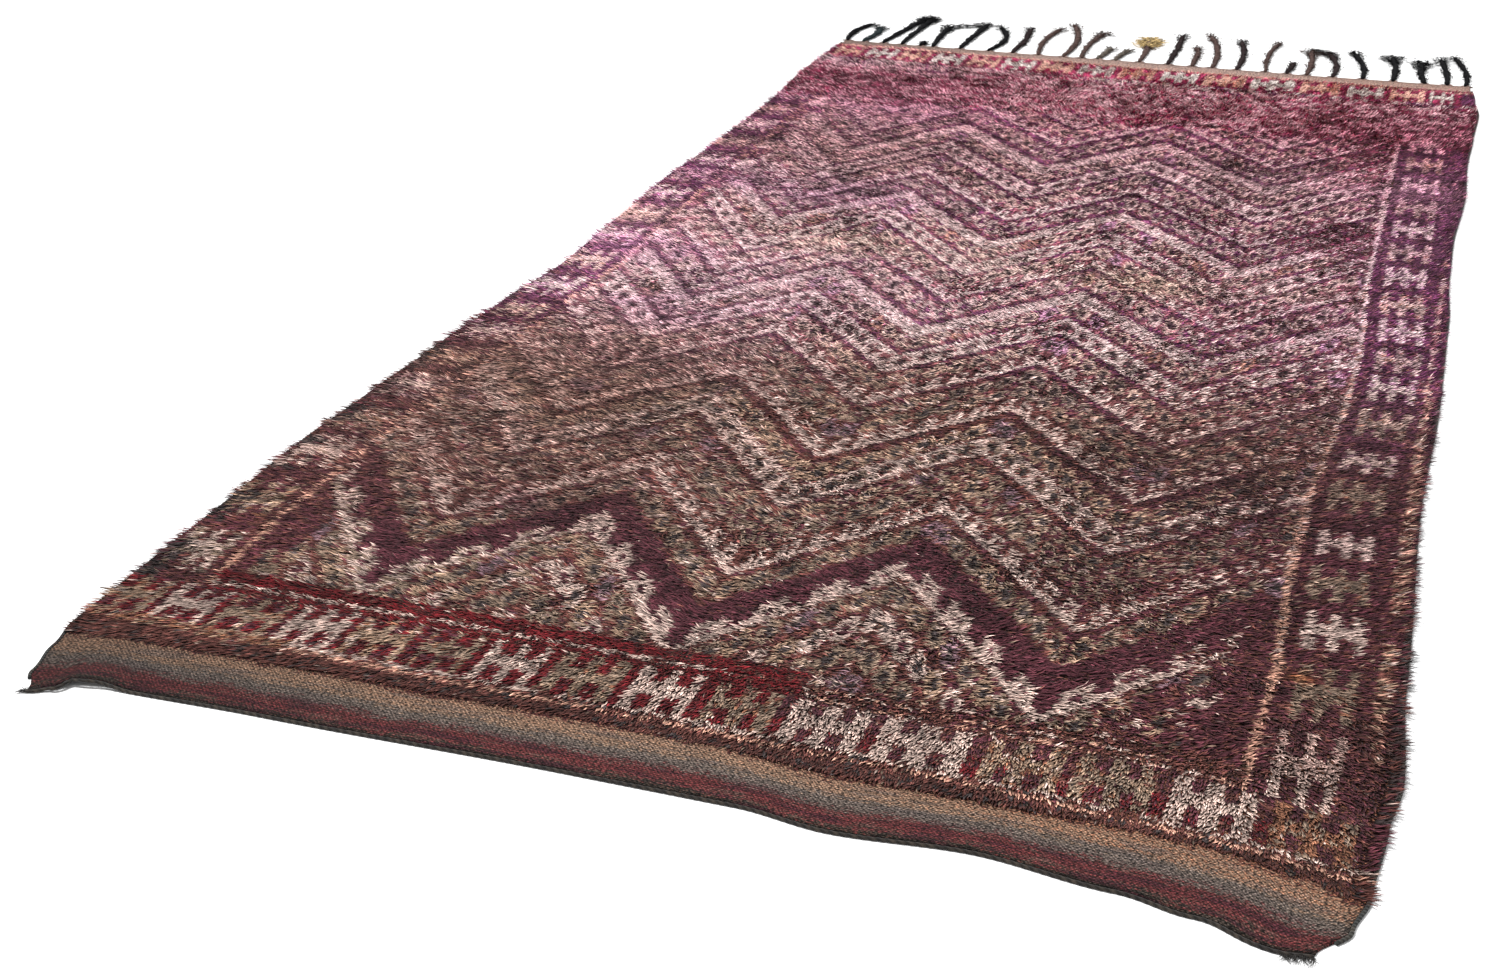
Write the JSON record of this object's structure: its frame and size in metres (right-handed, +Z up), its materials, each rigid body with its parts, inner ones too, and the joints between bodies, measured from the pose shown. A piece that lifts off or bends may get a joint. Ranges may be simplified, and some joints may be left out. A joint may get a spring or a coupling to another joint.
{
  "type": "knotted pile rug",
  "caption": "Long hand-knotted wool rug lying flat, with a zigzag pile field, comb borders, flat-woven ends, side cords and plied tassels at one end.",
  "frame": {"origin": "on the floor, under the middle of the whole rug with its tassels", "axes": "+X across the rug, +Y along it towards the tasselled end, +Z up"},
  "size_m": [1.8116, 4.2636, 0.0167],
  "materials": {
    "pile_wool": "shaggy hand-knotted wool pile, plum, brown, sage and pale pink in zigzag bands, with flat-woven striped ends",
    "side_cord": "dark overcast wool",
    "end_cord": "dark grey-brown twined wool",
    "tassel_yarn": "plied wool, black, brown and grey, one cream"
  },
  "bodies": {
    "root": {"rug_body": "pile_wool", "selvedge_left": "side_cord", "selvedge_right": "side_cord", "end_cord_near": "end_cord", "fringe_far": "tassel_yarn"}
  },
  "joints": []
}
